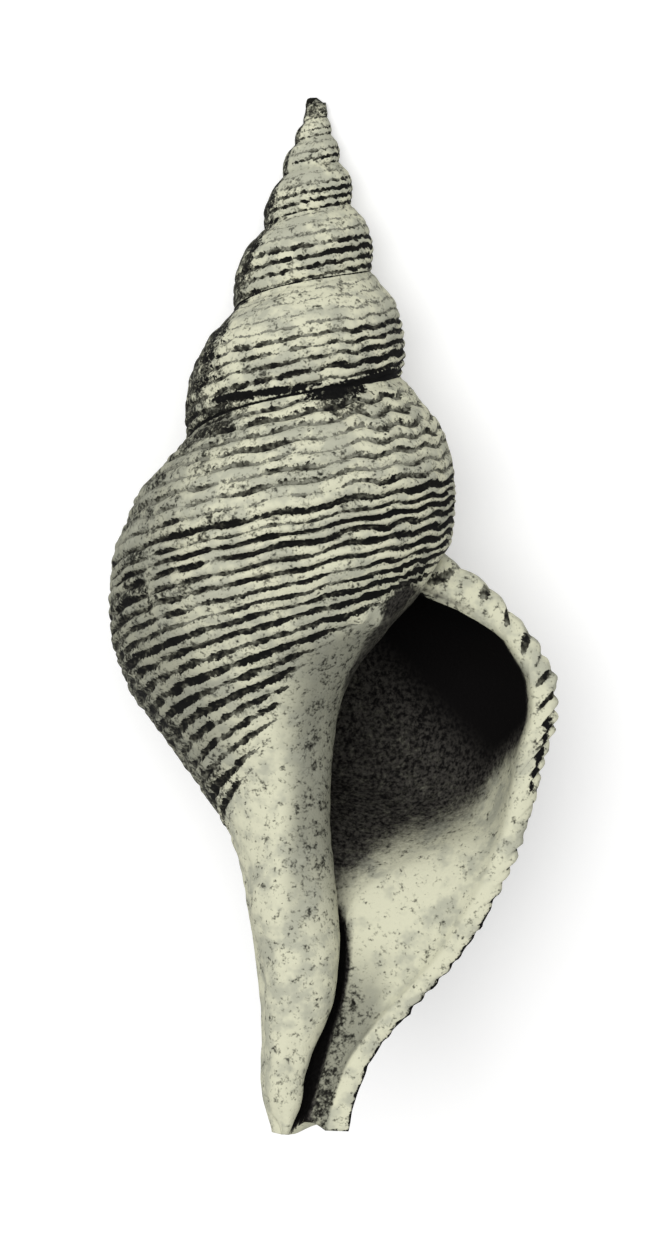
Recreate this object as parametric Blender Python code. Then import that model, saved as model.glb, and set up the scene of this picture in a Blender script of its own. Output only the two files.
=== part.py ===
"""Fossil spindle shell: one closed, hollow, right-handed spiral shell, lying on its back.

The shell is lofted about its own upright axis, with the spire's point up and the mouth facing -Y, and
is then laid down in the pose in which it rests. Lengths below are in millimetres and angles in degrees.
A place on the spiral is its "turns back": 0 at the outer lip, 1 a whole turn earlier, and so on up the
spire. A depth is a distance down the axis from the point where the spiral would vanish.
"""

import math

import bmesh
import bpy
from mathutils import Matrix

MM = 0.001

# The spiral.
WHORL_GROWTH = 1.57  # each whorl is this many times the size of the one above it
SPIRE_TURNS = 7.5  # turns from the lip to the worn-off tip of the spire
SUTURE_DEPTH = 34.9  # where the last whorl's upper seam would meet the lip
SUTURE_DROP = 1.2  # how much lower that seam really ends
DROP_TURNS = 0.12
TIP_DEPTH = 80.6  # the columella's worn point, at the bottom of the shell

# Radius of the last whorl at each depth, before the lip flares: (depth, radius).
WHORL_PROFILE = (
    (34.9, 11.4),
    (37.2, 13.3),
    (39.8, 15.6),
    (43.0, 17.1),
    (46.5, 18.1),
    (50.0, 18.3),
    (53.8, 18.0),
    (56.8, 16.8),
    (60.5, 14.3),
    (65.0, 10.3),
    (69.5, 6.7),
    (73.0, 4.6),
    (76.8, 2.9),
    (81.5, 1.1),
    (86.0, 0.0),
)

# The columella, the pillar at the middle: (depth, radius, bulge towards the lip).
PILLAR = (
    (46.0, 2.58, 0.0),
    (55.0, 2.58, 0.0),
    (60.4, 2.95, 0.19),
    (63.7, 3.08, 0.43),
    (66.8, 2.85, 0.91),
    (71.0, 2.28, 1.03),
    (74.7, 1.75, 0.62),
    (77.4, 1.25, 0.19),
    (80.2, 0.5, -0.1),
    (80.9, 0.3, -0.1),
)
PILLAR_FROM = 57.0  # the pillar shows below the whorl from here, at the last whorl's size
PILLAR_WHOLE = 67.0  # and has its full shape from here
PILLAR_BLEND = 1.5  # how softly the two run into each other
POINT_FROM = 76.5  # the blend gets sharper from this depth on, towards the columella's point
POINT_TO = 83.6  # and would be a crease here

# The outer lip's edge, at 0 turns back: (depth, radius).
LIP_EDGE = (
    (36.1, 10.8),
    (37.7, 13.7),
    (39.6, 15.6),
    (42.3, 17.9),
    (45.4, 19.5),
    (47.6, 19.7),
    (50.9, 19.0),
    (53.8, 18.4),
    (57.5, 17.6),
    (61.2, 16.2),
    (64.0, 14.7),
    (66.8, 12.9),
    (69.7, 10.5),
    (71.6, 8.8),
    (73.4, 7.4),
    (75.3, 6.3),
    (78.1, 5.4),
    (80.3, 5.0),
)
LIP_FLARE_TURNS = 0.22
LIP_TIP_DEPTH = 80.2  # the lip's own lower tip
NOTCH_DEPTH = 79.6  # the shallow notch between that tip and the columella's point
NOTCH_TURNS = (0.03, 0.06)  # where the notch is deepest

# The hollow, and the open canal below it.
LIP_THICKNESS = 1.8
WALL_THICKNESS = 1.5
LIP_THICK_TURNS = 0.1  # the lip's thickness comes down to the wall's within this
HOLLOW_TURNS = 0.47
HOLLOW_TOP_DEPTH = 39.0  # the mouth's upper corner, on the whorl before
HOLLOW_BASE = 64.0  # the hollow's bottom behind the canal, at the last whorl's size
CORNER = 3.6  # how far down its upper and lower corners are rounded
CANAL_GAP = 0.75
CANAL_FROM = 56.8  # the hollow narrows from here, at the last whorl's size
CANAL_WHOLE = 65.8  # and is only the canal's gap from here
CANAL_BACK = 1.8  # how far the wall behind the canal stands out from the pillar
CANAL_BACK_TURNS = (0.3, 0.48)  # it stands out fully up to the first, and not at all from the second
CANAL_TURNS = 0.2  # the canal is open at the bottom this far back
CANAL_CLOSED = 0.3  # and from there it shortens to the hollow's bottom here
FLAP_TURNS = 0.045  # the lip's inner face folds in to the canal within this

# How finely it is lofted.
STEPS = 30  # in each turn
BACK_TURNS = 0.25  # the middle of the back, on which it lies
BACK_SPREAD = 0.45  # the steps there are wider by this share, which gives a broad flat to lie on
BACK_REACH = 0.1  # and this far to each side they are as the others again
SPIRE_ROWS = 6  # between two seams
BASE_ROWS = 13  # from the lower seam's line to the bottom of the canal
CORNER_TURNS = 0.2  # the base's first row comes up to the mouth's upper corner over this
NECK_DEPTH = 56.0  # rows down the hollow are shared out above and below this, at the last whorl's size
NECK_SHARE = 0.6  # this share of them above it
CANAL_SECTIONS = (0.0, 0.012, 0.028, 0.05, 0.08, 0.11, 0.15, 0.2)
HOLLOW_SECTIONS = 16  # further sections, up to the closed end

TIP_CAP_TURNS = 0.6  # the tip's cap is as high as the seam would be this much further on
POINT_HEIGHT = 0.4  # of the columella's point below the canal's end

# How it lies: on its back, tipped about the X axis so that the spire's point is down.
REST_TIP = -21.5

SHARP_ANGLE = 50.0
STONE = (0.50, 0.48, 0.37, 1)
STONE_ROUGHNESS = 0.75


def smooth_curve(points, x, column=1):
    """Value at x of a curve through the points that never overshoots them."""
    xs = [point[0] for point in points]
    ys = [point[column] for point in points]
    x = min(max(x, xs[0]), xs[-1])
    last = len(xs) - 2
    slopes = [(ys[i + 1] - ys[i]) / (xs[i + 1] - xs[i]) for i in range(last + 1)]
    left = next(i for i in range(last + 1) if x <= xs[i + 1])

    def tangent(i):
        if i == 0 or i > last:
            return slopes[min(i, last)]
        before, after = slopes[i - 1], slopes[i]
        return 0.0 if before * after <= 0 else 2 * before * after / (before + after)

    width = xs[left + 1] - xs[left]
    t = (x - xs[left]) / width
    return (
        (2 * t**3 - 3 * t**2 + 1) * ys[left]
        + (t**3 - 2 * t**2 + t) * width * tangent(left)
        + (3 * t**2 - 2 * t**3) * ys[left + 1]
        + (t**3 - t**2) * width * tangent(left + 1)
    )


def fade(value, full, empty):
    """1 at full, 0 at empty, smooth between them."""
    t = min(max((value - empty) / (full - empty), 0.0), 1.0)
    return t * t * (3 - 2 * t)


def mix(a, b, t):
    return a + (b - a) * t


def size_at(turns):
    return WHORL_GROWTH**-turns


def pillar_radius(turns, depth):
    bulge = smooth_curve(PILLAR, depth, column=2)
    return smooth_curve(PILLAR, depth) + bulge * math.cos(2 * math.pi * turns)


def plain_radius(turns, depth):
    """Radius of the whorl's outside, or of the pillar and canal where that is wider."""
    size = size_at(turns)
    whorl = size * smooth_curve(WHORL_PROFILE, depth / size)
    low = fade(depth / size, PILLAR_WHOLE, PILLAR_FROM)
    if low == 0.0:
        return whorl
    pillar = pillar_radius(turns, depth) + CANAL_BACK * low * fade(turns, *CANAL_BACK_TURNS)
    blend = PILLAR_BLEND * low * fade(depth, POINT_FROM, POINT_TO)
    return 0.5 * (whorl + pillar + math.hypot(whorl - pillar, blend))


def outer_radius(turns, depth):
    """plain_radius with the flare of the lip, which dies out going back from the mouth."""
    reach = max(0.0, 1 - turns / LIP_FLARE_TURNS) ** 3
    if reach == 0.0:
        return plain_radius(turns, depth)
    lip_depth = max(depth, LIP_EDGE[0][0])
    flare = smooth_curve(LIP_EDGE, lip_depth) - plain_radius(0.0, lip_depth)
    return plain_radius(turns, depth) + reach * flare


def seam_depth(turns):
    """Depth of the seam between the whorl at this place and the one above it."""
    drop = SUTURE_DROP * max(0.0, 1 - turns / DROP_TURNS) ** 2
    return SUTURE_DEPTH * size_at(turns) + drop


def bottom_depth(turns):
    """The canal's end: the lip's tip, a shallow notch behind it, then the columella's point."""
    notch = mix(LIP_TIP_DEPTH, NOTCH_DEPTH, fade(turns, NOTCH_TURNS[0], 0.0))
    return mix(notch, TIP_DEPTH, fade(turns, CANAL_TURNS, NOTCH_TURNS[1]))


def at(turns, radius, depth):
    angle = 2 * math.pi * turns
    return (radius * math.cos(angle), radius * math.sin(angle), -depth)


def step_turns(step):
    """Turns back of a step of the outside."""
    turns = step / STEPS
    off = (turns - BACK_TURNS + 0.5) % 1 - 0.5
    return turns + BACK_SPREAD * off * math.exp(-((off / BACK_REACH) ** 2))


def outside_point(turns, row):
    """A point of the outside: row 0 is the upper seam, and SPIRE_ROWS the lower one."""
    upper = seam_depth(turns)
    if row == 0:
        return at(turns, outer_radius(turns + 1, upper), upper)
    lower = seam_depth(turns - 1) if turns >= 1 else SUTURE_DEPTH * size_at(turns - 1)
    if row <= SPIRE_ROWS:
        depth = mix(upper, lower, row / SPIRE_ROWS)
        return at(turns, outer_radius(turns, depth), depth)
    bottom = bottom_depth(turns)
    to_corner = fade(turns, 1.0, 1.0 - CORNER_TURNS)
    first = mix(mix(lower, bottom, 1 / BASE_ROWS), HOLLOW_TOP_DEPTH, to_corner)
    depth = mix(first, bottom, (row - SPIRE_ROWS - 1) / (BASE_ROWS - 1))
    return at(turns, outer_radius(turns, depth), depth)


def hollow_bottom(turns):
    """Depth at which the hollow, or the canal below it, ends."""
    if turns <= CANAL_TURNS:
        return bottom_depth(turns)
    closing = (turns - CANAL_TURNS) / (CANAL_CLOSED - CANAL_TURNS)
    return mix(bottom_depth(turns), HOLLOW_BASE * size_at(turns), min(1.0, closing))


def hollow_depths(turns, rows, bottom):
    """Depths of so many rows down the hollow."""
    top, neck = HOLLOW_TOP_DEPTH * size_at(turns), NECK_DEPTH * size_at(turns)
    upper = round(rows * NECK_SHARE)
    depths = [mix(top, neck, row / upper) for row in range(upper)]
    return depths + [mix(neck, bottom, row / (rows - upper)) for row in range(rows - upper + 1)]


def wall_radius(turns, depth):
    """Radius of the hollow's outer wall, seen from inside."""
    size = size_at(turns)
    top, bottom = HOLLOW_TOP_DEPTH * size, hollow_bottom(turns)
    inside = outer_radius(turns + 1, depth)
    step = 0.05
    slope = (outer_radius(turns, depth + step) - outer_radius(turns, depth - step)) / (2 * step)
    thickness = mix(WALL_THICKNESS * size, LIP_THICKNESS, fade(turns, 0.0, LIP_THICK_TURNS))
    width = outer_radius(turns, depth) - thickness * math.hypot(1, slope) - inside
    canal = fade(depth / size, CANAL_WHOLE, CANAL_FROM)
    flap = fade(turns, 0.0, FLAP_TURNS) * (outer_radius(0, depth) - LIP_THICKNESS - inside - CANAL_GAP)
    width = mix(width, CANAL_GAP + flap, canal)
    from_top = min(1.0, (depth - top) / (CORNER * size))
    width *= math.sqrt(1 - (1 - from_top) ** 2)
    if turns > CANAL_TURNS:
        from_bottom = min(1.0, (bottom - depth) / (CORNER * size))
        width *= math.sqrt(1 - (1 - from_bottom) ** 2)
    return inside + width


def wall_row(turns):
    """Points down the hollow's outer wall, one for each row of the outside."""
    depths = hollow_depths(turns, SPIRE_ROWS + BASE_ROWS, hollow_bottom(turns))
    return [at(turns, wall_radius(turns, depth), depth) for depth in depths]


def inside_row(turns):
    """Points down the hollow's inner side, which is the outside of the whorl before."""
    bottom = TIP_DEPTH if turns <= CANAL_TURNS else hollow_bottom(turns)
    depths = hollow_depths(turns, BASE_ROWS - 1, bottom)
    return [at(turns, outer_radius(turns + 1, depth), depth) for depth in depths]


def new_verts(mesh, points):
    return [mesh.verts.new(point) for point in points]


def bridge(mesh, first, second):
    """Faces between two rows of as many vertices."""
    for i in range(len(first) - 1):
        corners = dict.fromkeys((first[i], first[i + 1], second[i + 1], second[i]))
        if len(corners) > 2:
            mesh.faces.new(list(corners))


def fan(mesh, loop, point):
    """Closes a loop with triangles that meet at a point."""
    middle = mesh.verts.new(point)
    for first, second in zip(loop, loop[1:] + loop[:1]):
        mesh.faces.new((first, second, middle))


def close_between(mesh, first, second):
    """Triangles between two rows that start and end together, going down both at once."""
    i = j = 0
    while i + 1 < len(first) or j + 1 < len(second):
        next_first = first[i + 1].co.z if i + 1 < len(first) else -math.inf
        next_second = second[j + 1].co.z if j + 1 < len(second) else -math.inf
        if next_first >= next_second:
            corners = (first[i], first[i + 1], second[j])
            i += 1
        else:
            corners = (second[j + 1], second[j], first[i])
            j += 1
        if len(set(corners)) == 3:
            mesh.faces.new(corners)


def loft_outside(mesh):
    """The spiral outside, from the lip to the tip of the spire. Returns its sections."""
    sections = []
    for i in range(int(SPIRE_TURNS * STEPS) + 1):
        turns = step_turns(i)
        rows = SPIRE_ROWS + BASE_ROWS + 1 if i <= STEPS else SPIRE_ROWS
        section = new_verts(mesh, [outside_point(turns, row) for row in range(rows)])
        if i == STEPS:
            mesh.verts.remove(section[SPIRE_ROWS])
            section[SPIRE_ROWS] = sections[0][0]
        elif i > STEPS:
            section.append(sections[i - STEPS][0])
        if i > STEPS:
            bridge(mesh, sections[-1][: SPIRE_ROWS + 1], section)
        elif i > 0:
            bridge(mesh, sections[-1], section)
        sections.append(section)
    rim = [section[0] for section in sections[-STEPS - 1 :]] + sections[-1][1:-1]
    fan(mesh, rim, at(0, 0, seam_depth(SPIRE_TURNS + TIP_CAP_TURNS)))
    return sections


def loft_hollow(mesh, sections):
    """The lip's rim, the canal and the hollow behind the mouth."""
    lip = sections[0]
    inside = sections[STEPS][SPIRE_ROWS + 1 :]
    outer = [inside[0]] + new_verts(mesh, wall_row(0)[1:])
    bridge(mesh, lip, outer)
    end = [section[-1] for section in sections[: STEPS + 1]]
    canal_walls = [outer[-1]]
    deeper = [
        mix(CANAL_TURNS, HOLLOW_TURNS, (i + 1) / HOLLOW_SECTIONS) for i in range(HOLLOW_SECTIONS)
    ]
    for turns in CANAL_SECTIONS[1:] + tuple(deeper):
        next_inside = new_verts(mesh, inside_row(turns))
        next_outer = [next_inside[0]] + new_verts(mesh, wall_row(turns)[1:])
        if turns <= CANAL_TURNS:
            end.append(next_inside[-1])
            canal_walls.append(next_outer[-1])
        else:
            mesh.verts.remove(next_outer[-1])
            next_outer[-1] = next_inside[-1]
        bridge(mesh, inside, next_inside)
        bridge(mesh, outer, next_outer)
        if turns > CANAL_TURNS and outer[-1] is not inside[-1]:
            mesh.faces.new((outer[-1], inside[-1], next_inside[-1]))
        inside, outer = next_inside, next_outer
    close_between(mesh, inside, outer)
    past_canal = math.ceil(CANAL_TURNS * STEPS)
    mesh.faces.new(end[: past_canal + 1] + canal_walls[::-1])
    fan(mesh, [canal_walls[-1]] + end[past_canal:], at(0, 0, TIP_DEPTH + POINT_HEIGHT))


def rest_matrix():
    lay_down = Matrix.Rotation(-math.pi / 2, 4, "X")
    tip = Matrix.Rotation(math.radians(REST_TIP), 4, "X")
    return tip @ lay_down


def stand_at_origin(mesh):
    """Puts the bottom centre of the shell's box at the origin."""
    for axis in range(3):
        values = [vert.co[axis] for vert in mesh.verts]
        middle = min(values) if axis == 2 else 0.5 * (min(values) + max(values))
        for vert in mesh.verts:
            vert.co[axis] -= middle


def fossil_material():
    material = bpy.data.materials.new("fossil_shell")
    material.use_nodes = True
    surface = material.node_tree.nodes["Principled BSDF"]
    surface.inputs["Base Color"].default_value = STONE
    surface.inputs["Roughness"].default_value = STONE_ROUGHNESS
    surface.inputs["Metallic"].default_value = 0.0
    return material


def build_shell(collection):
    mesh = bmesh.new()
    sections = loft_outside(mesh)
    loft_hollow(mesh, sections)
    bmesh.ops.recalc_face_normals(mesh, faces=mesh.faces)
    bmesh.ops.triangulate(mesh, faces=mesh.faces)
    bmesh.ops.transform(mesh, matrix=rest_matrix() @ Matrix.Scale(MM, 4), verts=mesh.verts)
    stand_at_origin(mesh)
    data = bpy.data.meshes.new("shell")
    mesh.to_mesh(data)
    mesh.free()
    data.shade_smooth()
    data.set_sharp_from_angle(angle=math.radians(SHARP_ANGLE))
    data.materials.append(fossil_material())
    shell = bpy.data.objects.new("shell", data)
    collection.objects.link(shell)
    return shell


def main():
    for obj in list(bpy.data.objects):
        bpy.data.objects.remove(obj)
    collection = bpy.data.collections.new("fossil_spindle_shell")
    bpy.context.scene.collection.children.link(collection)
    build_shell(collection)


main()
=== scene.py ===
import math

import bpy
import numpy as np
from mathutils import Matrix, Vector


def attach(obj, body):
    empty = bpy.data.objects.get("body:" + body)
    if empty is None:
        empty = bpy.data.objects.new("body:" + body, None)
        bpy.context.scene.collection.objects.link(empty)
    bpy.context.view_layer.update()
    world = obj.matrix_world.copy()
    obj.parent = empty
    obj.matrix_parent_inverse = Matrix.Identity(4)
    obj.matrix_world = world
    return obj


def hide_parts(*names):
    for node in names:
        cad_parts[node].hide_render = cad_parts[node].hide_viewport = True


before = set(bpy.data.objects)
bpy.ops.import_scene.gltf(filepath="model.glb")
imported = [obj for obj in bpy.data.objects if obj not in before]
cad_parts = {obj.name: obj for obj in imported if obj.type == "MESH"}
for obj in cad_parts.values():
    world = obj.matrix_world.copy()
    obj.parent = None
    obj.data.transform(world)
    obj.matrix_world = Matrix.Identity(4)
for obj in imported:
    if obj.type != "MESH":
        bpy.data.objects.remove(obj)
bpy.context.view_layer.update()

# --- The shell ---------------------------------------------------------------------------------
# One fossil spindle shell: a right-handed spiral of grey stone that has taken the lime's place. It
# grew as one piece, so it is modelled as one skin: sheets wrapped on the spiral, then sewn together
# along the seams, round the lip and down the canal.

# Lengths are in millimetres about the shell's own axis, with the spire's point up. A place on the
# spiral is its turns back from the lip, and its depth down the axis from where it would vanish.
MM = 0.001
WHORL_GROWTH = 1.57  # each whorl is this many times the size of the one above it
SPIRE_TURNS = 7.5  # from the lip to the worn tip of the spire
SUTURE_DEPTH = 34.9  # where the last whorl's upper seam would meet the lip
SUTURE_DROP = 1.2  # how much lower that seam really ends
DROP_TURNS = 0.12
TIP_DEPTH = 80.6  # the pillar's worn point

# Radius of the last whorl at each depth, before the lip flares: (depth, radius).
WHORL_PROFILE = (
    (34.9, 11.4),
    (37.2, 13.3),
    (39.8, 15.6),
    (43.0, 17.1),
    (46.5, 18.1),
    (50.0, 18.3),
    (53.8, 18.0),
    (56.8, 16.8),
    (60.5, 14.3),
    (65.0, 10.3),
    (69.5, 6.7),
    (73.0, 4.6),
    (76.8, 2.9),
    (81.5, 1.1),
    (86.0, 0.0),
)
# The pillar at the middle: (depth, radius, bulge towards the lip).
PILLAR = (
    (46.0, 2.58, 0.0),
    (55.0, 2.58, 0.0),
    (60.4, 2.95, 0.19),
    (63.7, 3.08, 0.43),
    (66.8, 2.85, 0.91),
    (71.0, 2.28, 1.03),
    (74.7, 1.75, 0.62),
    (77.4, 1.25, 0.19),
    (80.2, 0.5, -0.1),
    (80.9, 0.3, -0.1),
)
PILLAR_FROM = 57.0  # the pillar shows below the whorl from here, at the last whorl's size
PILLAR_WHOLE = 67.0  # and has its full shape from here
PILLAR_BLEND = 1.5  # how softly the two run into each other
POINT_FROM = 76.5  # the blend gets sharper from here on, towards the pillar's point
POINT_TO = TIP_DEPTH + 3.0

# The outer lip's edge, at no turns back: (depth, radius).
LIP_EDGE = (
    (36.1, 10.8),
    (37.7, 13.7),
    (39.6, 15.6),
    (42.3, 17.9),
    (45.4, 19.5),
    (47.6, 19.7),
    (50.9, 19.0),
    (53.8, 18.4),
    (57.5, 17.6),
    (61.2, 16.2),
    (64.0, 14.7),
    (66.8, 12.9),
    (69.7, 10.5),
    (71.6, 8.8),
    (73.4, 7.4),
    (75.3, 6.3),
    (78.1, 5.4),
    (80.3, 5.0),
)
LIP_FLARE_TURNS = 0.22
CANAL_BACK = 1.8  # how far the wall behind the canal stands out from the pillar
CANAL_BACK_TURNS = (0.3, 0.48)  # it does so fully up to the first, and not at all from the second


def smooth_curve(points, value, column=1):
    """Values of a curve through the points that never overshoots them."""
    xs = np.array([point[0] for point in points], float)
    ys = np.array([point[column] for point in points], float)
    slopes = np.diff(ys) / np.diff(xs)
    tangents = np.zeros(len(xs))
    tangents[0], tangents[-1] = slopes[0], slopes[-1]
    product = slopes[:-1] * slopes[1:]
    total = np.where(product > 0, slopes[:-1] + slopes[1:], 1.0)
    tangents[1:-1] = np.where(product > 0, 2 * product / total, 0.0)
    value = np.clip(value, xs[0], xs[-1])
    left = np.clip(np.searchsorted(xs, value) - 1, 0, len(xs) - 2)
    width = xs[left + 1] - xs[left]
    t = (value - xs[left]) / width
    return (
        (2 * t**3 - 3 * t**2 + 1) * ys[left]
        + (t**3 - 2 * t**2 + t) * width * tangents[left]
        + (3 * t**2 - 2 * t**3) * ys[left + 1]
        + (t**3 - t**2) * width * tangents[left + 1]
    )


def fade(value, full, empty):
    """1 at full, 0 at empty, smooth between them."""
    t = np.clip((value - empty) / (full - empty), 0.0, 1.0)
    return t * t * (3 - 2 * t)


def mix(a, b, t):
    return a + (b - a) * t


def size_at(turns):
    return WHORL_GROWTH ** -np.asarray(turns, float)


def plain_radius(turns, depth):
    size = size_at(turns)
    whorl = size * smooth_curve(WHORL_PROFILE, depth / size)
    low = fade(depth / size, PILLAR_WHOLE, PILLAR_FROM)
    bulge = smooth_curve(PILLAR, depth, column=2) * np.cos(2 * np.pi * turns)
    pillar = smooth_curve(PILLAR, depth) + bulge
    pillar = pillar + CANAL_BACK * low * fade(turns, *CANAL_BACK_TURNS)
    blend = PILLAR_BLEND * low * fade(depth, POINT_FROM, POINT_TO)
    blended = 0.5 * (whorl + pillar + np.hypot(whorl - pillar, blend))
    return np.where(low > 0, blended, whorl)


def outer_radius(turns, depth):
    reach = np.maximum(0.0, 1 - turns / LIP_FLARE_TURNS) ** 3
    lip_depth = np.maximum(depth, LIP_EDGE[0][0])
    flare = smooth_curve(LIP_EDGE, lip_depth) - plain_radius(np.zeros_like(lip_depth), lip_depth)
    return plain_radius(turns, depth) + reach * flare


def seam_depth(turns):
    drop = SUTURE_DROP * np.maximum(0.0, 1 - turns / DROP_TURNS) ** 2
    return SUTURE_DEPTH * size_at(turns) + np.where(turns < 0, 0.0, drop)


# The hollow behind the mouth, and the open canal below it.
LIP_TIP_DEPTH = 80.2  # the lip's own lower tip
NOTCH_DEPTH = 79.6  # the shallow notch between that tip and the pillar's point
NOTCH_TURNS = (0.03, 0.06)  # the notch is deepest between these
LIP_THICKNESS = 1.8
WALL_THICKNESS = 1.5
LIP_THICK_TURNS = 0.1  # the lip's thickness comes down to the wall's within this
HOLLOW_TOP_DEPTH = 39.0  # the mouth's upper corner, on the whorl before
HOLLOW_BASE = 64.0  # the hollow's bottom behind the canal, at the last whorl's size
CORNER = 3.6  # how far down its upper and lower corners are rounded
CANAL_GAP = 0.75
CANAL_FROM = 56.8  # the hollow narrows from here, at the last whorl's size
CANAL_WHOLE = 65.8  # and is only the canal's gap from here
CANAL_TURNS = 0.2  # the canal is open at the bottom this far back
CANAL_OPEN = CANAL_TURNS + 1e-6  # a step at that place itself still counts as open
CANAL_CLOSED = 0.3  # and from there it shortens to the hollow's bottom here
FLAP_TURNS = 0.045  # the lip's inner face folds in to the canal within this
SLOPE_STEP = 0.05  # slopes are taken over this far up and down


def bottom_depth(turns):
    notch = mix(LIP_TIP_DEPTH, NOTCH_DEPTH, fade(turns, NOTCH_TURNS[0], 0.0))
    return mix(notch, TIP_DEPTH, fade(turns, CANAL_TURNS, NOTCH_TURNS[1]))


def hollow_bottom(turns):
    closing = np.clip((turns - CANAL_TURNS) / (CANAL_CLOSED - CANAL_TURNS), 0.0, 1.0)
    return mix(bottom_depth(turns), HOLLOW_BASE * size_at(turns), closing)


def slope_at(turns, depth):
    """How much the outside widens for each millimetre down the axis."""
    above, below = outer_radius(turns, depth - SLOPE_STEP), outer_radius(turns, depth + SLOPE_STEP)
    return (below - above) / (2 * SLOPE_STEP)


def wall_radius(turns, depth):
    """Radius of the hollow's outer wall, seen from inside."""
    size = size_at(turns)
    top, bottom = HOLLOW_TOP_DEPTH * size, hollow_bottom(turns)
    inside = outer_radius(turns + 1, depth)
    thickness = mix(WALL_THICKNESS * size, LIP_THICKNESS, fade(turns, 0.0, LIP_THICK_TURNS))
    width = outer_radius(turns, depth) - thickness * np.hypot(1, slope_at(turns, depth)) - inside
    canal = fade(depth / size, CANAL_WHOLE, CANAL_FROM)
    lip = outer_radius(np.zeros_like(turns), depth)
    flap = fade(turns, 0.0, FLAP_TURNS) * (lip - LIP_THICKNESS - inside - CANAL_GAP)
    width = mix(width, CANAL_GAP + flap, canal)
    from_top = np.clip((depth - top) / (CORNER * size), 0.0, 1.0)
    width = width * np.sqrt(1 - (1 - from_top) ** 2)
    from_bottom = np.clip((bottom - depth) / (CORNER * size), 0.0, 1.0)
    rounded = np.sqrt(1 - (1 - from_bottom) ** 2)
    return inside + width * np.where(turns > CANAL_OPEN, rounded, 1.0)


# The cords that run round the whorls, and the pauses in growth that cross them. A place on a whorl
# is its depth at the last whorl's size, so that it means the same on every whorl.
CORD_START = 37.6
CORD_SPACING = 1.52
FINE_CORD_SPACING = 1.24
FINE_FROM = 47.0  # the cords are finer from here down, near the lip
FINE_FROM_EARLY = 60.0  # and from here down on the earlier whorls
CORD_SWAY = -0.0525  # the cords rise and sink against the seams by this much of a turn's growth
CORD_SWAY_FROM = 0.93  # once in each turn, and cross their middle place here
# The cords are wider apart on the older whorls: (turns back, times as far apart).
CORD_SPREAD = (
    (1.0, 1.0),
    (1.45, 1.33),
    (2.0, 1.33),
    (2.45, 1.95),
    (3.0, 1.95),
    (3.45, 2.5),
    (4.0, 2.5),
    (4.45, 3.5),
    (5.0, 3.5),
    (5.45, 4.5),
    (7.5, 4.5),
)
PAUSES = 27  # in each turn
RIBS = 13
# Where the smooth callus begins under the cords: (turns back, place).
CALLUS_EDGE = (
    (0.0, 71.5),
    (0.57, 70.5),
    (0.65, 69.4),
    (0.70, 67.9),
    (0.75, 63.8),
    (0.80, 61.5),
    (0.86, 59.2),
    (0.92, 58.5),
    (1.0, 58.0),
)
CALLUS_HALF = 1.2  # the cords fade out into it this far above and below

# Stretches of a whorl, as seen from the mouth's side: (middle, whole within, gone past), in turns.
RIGHT_SIDE = (0.99, 0.09, 0.24)
LEFT_SIDE = (0.45, 0.12, 0.26)


def hit_or_miss(a, b):
    """A number from 0 to 1 that looks random, the same each time for the same whole numbers."""
    return np.abs(np.sin(a * 12.99 + b * 78.23 + 1.7) * 437.5) % 1


def drift(value, row):
    """Runs smoothly between the random numbers of each whole value, from -1 to 1."""
    low = np.floor(value)
    t = value - low
    t = t * t * (3 - 2 * t)
    return mix(hit_or_miss(low, row), hit_or_miss(low + 1, row), t) * 2 - 1


def lumps(places, length, seed):
    """Smooth random waves of about this length, from about -1 to 1."""
    chance = np.random.default_rng(seed)
    directions = chance.normal(size=(14, 3))
    directions *= 2 * np.pi / (length * np.linalg.norm(directions, axis=1)[:, None])
    waves = np.sin(places @ directions.T + chance.uniform(0, 2 * np.pi, 14))
    return waves.sum(-1) / 5.3


def near(turns, centre, full, empty):
    """1 within full of a turn of the centre, 0 past empty, on every whorl."""
    return fade(np.abs((turns - centre + 0.5) % 1 - 0.5), full, empty)


def cord_number(turns, depth):
    """Counts the cords down a whorl. It is a whole number in the middle of each groove."""
    size = size_at(turns)
    sway = size_at(CORD_SWAY * np.sin(2 * np.pi * (turns - CORD_SWAY_FROM)))
    place = depth / size * sway - CORD_START
    fine_from = mix(FINE_FROM, FINE_FROM_EARLY, fade(turns, 1.35, 0.95)) - CORD_START
    coarse = np.minimum(place, fine_from) / CORD_SPACING
    number = coarse + np.maximum(place - fine_from, 0.0) / FINE_CORD_SPACING
    number = number / smooth_curve(CORD_SPREAD, turns)
    number = number + 0.16 * drift(number / 1.7, 50.0)
    # The cords waver along their way, most by the lip and high on the whorl.
    wavy = mix(0.06, 0.24, near(turns, 0.95, 0.10, 0.28)) * fade(place, 14.0, 26.0)
    wavy = wavy * mix(1.0, 0.4, fade(turns, 2.3, 1.2))
    phase = 20 * turns + 0.8 * drift(turns * 6, 3.0) + 0.03 * place + 0.2 * drift(number, 4.0)
    crooked = 0.8 * np.sin(2 * np.pi * phase) + drift(turns * 33, 2.0)
    return number + wavy * crooked + 0.05 * drift(turns * 51, np.floor(number / 2))


def callus_share(turns, depth):
    """1 on the smooth callus, pillar and canal, 0 where the cords are."""
    place = depth / size_at(turns)
    edge = smooth_curve(CALLUS_EDGE, turns)
    last_whorl = fade(place, edge + CALLUS_HALF, edge - CALLUS_HALF)
    return np.where(turns > 1.0, fade(place, 59.5, 57.5), last_whorl)


def pause(turns, depth):
    """1 on a growth pause, where the cords are filled in."""
    count = turns * PAUSES + 0.35 * drift(depth / size_at(turns) / 2.6, np.floor(turns))
    off = np.abs(count - np.round(count))
    number = np.round(cord_number(turns, depth))
    kept = (hit_or_miss(np.round(count), 9.0) > 0.3) & (hit_or_miss(np.round(count), number) > 0.3)
    return fade(off, 0.06, 0.20) * kept


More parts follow.
